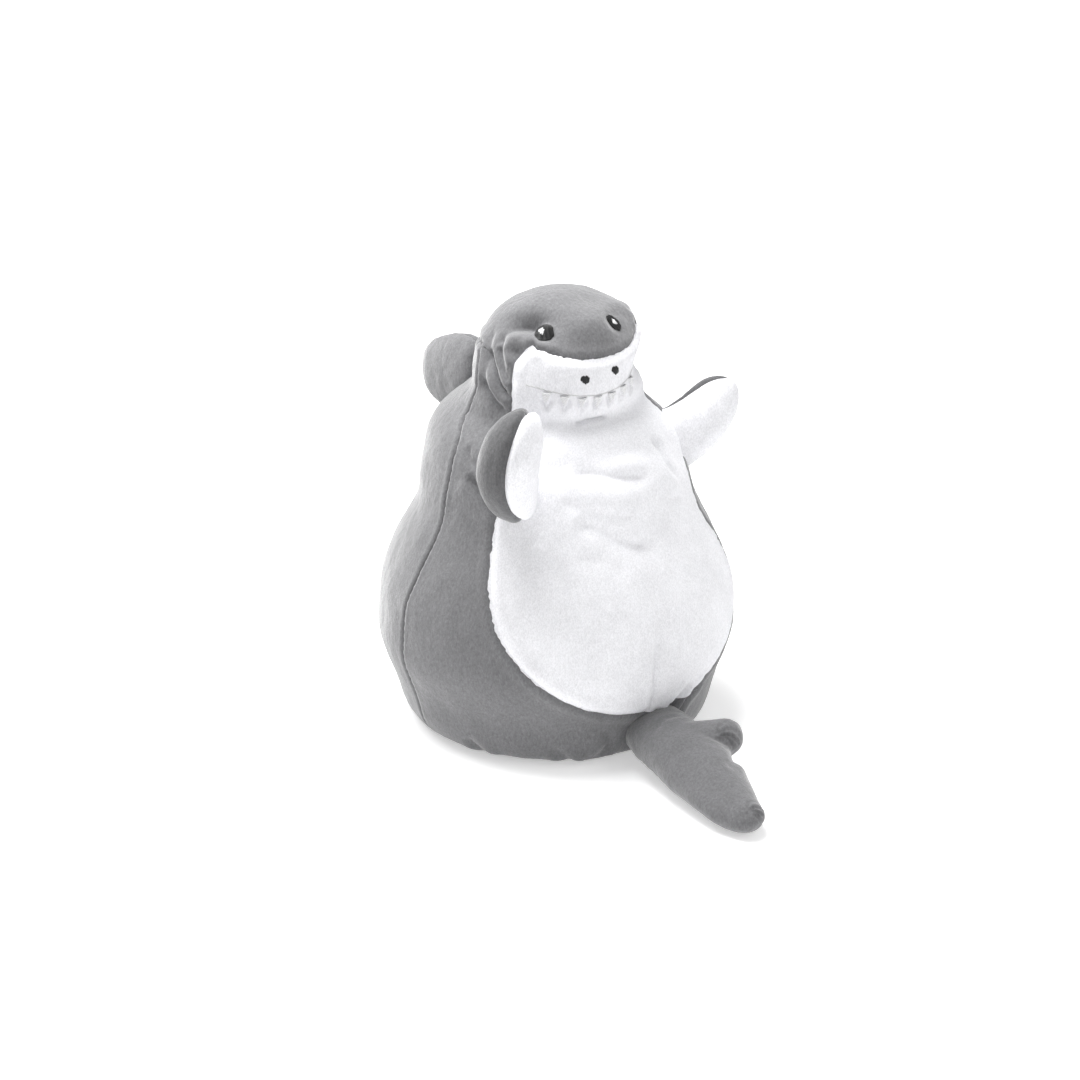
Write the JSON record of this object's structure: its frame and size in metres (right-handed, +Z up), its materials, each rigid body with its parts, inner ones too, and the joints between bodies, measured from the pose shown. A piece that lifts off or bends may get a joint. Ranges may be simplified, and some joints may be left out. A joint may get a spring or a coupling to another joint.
{
  "type": "plush toy",
  "caption": "Seated plush shark with a round weighted body, raised fins, a smiling stitched face and a tail laid out in front.",
  "frame": {"origin": "centre of the flat base that the shark sits on", "axes": "+Z up, the shark faces -Y, its left side is +X"},
  "size_m": [0.1318, 0.2113, 0.1665],
  "materials": {
    "grey_plush": "short soft pile",
    "white_plush": "short soft pile",
    "fibre_stuffing": "loose fibre",
    "black_thread": "satin stitch",
    "white_thread": "satin stitch",
    "pouch_cloth": "plain weave",
    "pellets": "matte"
  },
  "bodies": {
    "torso": {"belly_panel": "white_plush", "side_panel_left": "grey_plush", "side_panel_right": "grey_plush", "back_panel_left": "grey_plush", "back_panel_right": "grey_plush", "base_panel": "grey_plush", "torso_stuffing": "fibre_stuffing", "pellet_pouch": "pouch_cloth", "pellets": "pellets"},
    "head": {"head_crown": "grey_plush", "muzzle_panel": "white_plush", "cheek_left": "grey_plush", "cheek_right": "grey_plush", "head_stuffing": "fibre_stuffing", "eye_left": "black_thread", "eye_right": "black_thread", "eye_highlight_left": "white_thread", "eye_highlight_right": "white_thread", "nostril_left": "black_thread", "nostril_right": "black_thread", "mouth_stitch": "white_thread", "teeth_stitch": "white_thread"},
    "fin_left": {"fin_left_outer": "grey_plush", "fin_left_inner": "white_plush", "fin_left_stuffing": "fibre_stuffing"},
    "fin_right": {"fin_right_outer": "grey_plush", "fin_right_inner": "white_plush", "fin_right_stuffing": "fibre_stuffing"},
    "dorsal_fin": {"dorsal_left_panel": "grey_plush", "dorsal_right_panel": "grey_plush", "dorsal_stuffing": "fibre_stuffing"},
    "tail": {"tail_left_panel": "grey_plush", "tail_right_panel": "grey_plush", "tail_stuffing": "fibre_stuffing", "tail_lobe_left_panel": "grey_plush", "tail_lobe_right_panel": "grey_plush", "tail_lobe_stuffing": "fibre_stuffing"}
  },
  "joints": [
    {"name": "head_nod", "type": "hinge", "parent": "torso", "child": "head", "pos_m": [0, -0.0005, 0.13], "axis": [1, 0, 0], "range_deg": [-14, 10], "stiffness_Nm_per_rad": 0.4},
    {"name": "fin_left_flap", "type": "hinge", "parent": "torso", "child": "fin_left", "pos_m": [0.04735, -0.0287, 0.10309], "axis": [-0.2946, 0.1913, 0.9363], "range_deg": [-30, 25], "stiffness_Nm_per_rad": 0.04},
    {"name": "fin_right_flap", "type": "hinge", "parent": "torso", "child": "fin_right", "pos_m": [-0.04735, -0.0287, 0.10309], "axis": [-0.2946, -0.1913, -0.9363], "range_deg": [-30, 25], "stiffness_Nm_per_rad": 0.04},
    {"name": "dorsal_fin_sway", "type": "hinge", "parent": "torso", "child": "dorsal_fin", "pos_m": [0, 0.05311, 0.11489], "axis": [0, -0.3701, 0.929], "range_deg": [-15, 15], "stiffness_Nm_per_rad": 0.05},
    {"name": "tail_wag", "type": "hinge", "parent": "torso", "child": "tail", "pos_m": [0, -0.07594, 0.013], "axis": [0, 0, 1], "range_deg": [-18, 18], "stiffness_Nm_per_rad": 0.08}
  ]
}
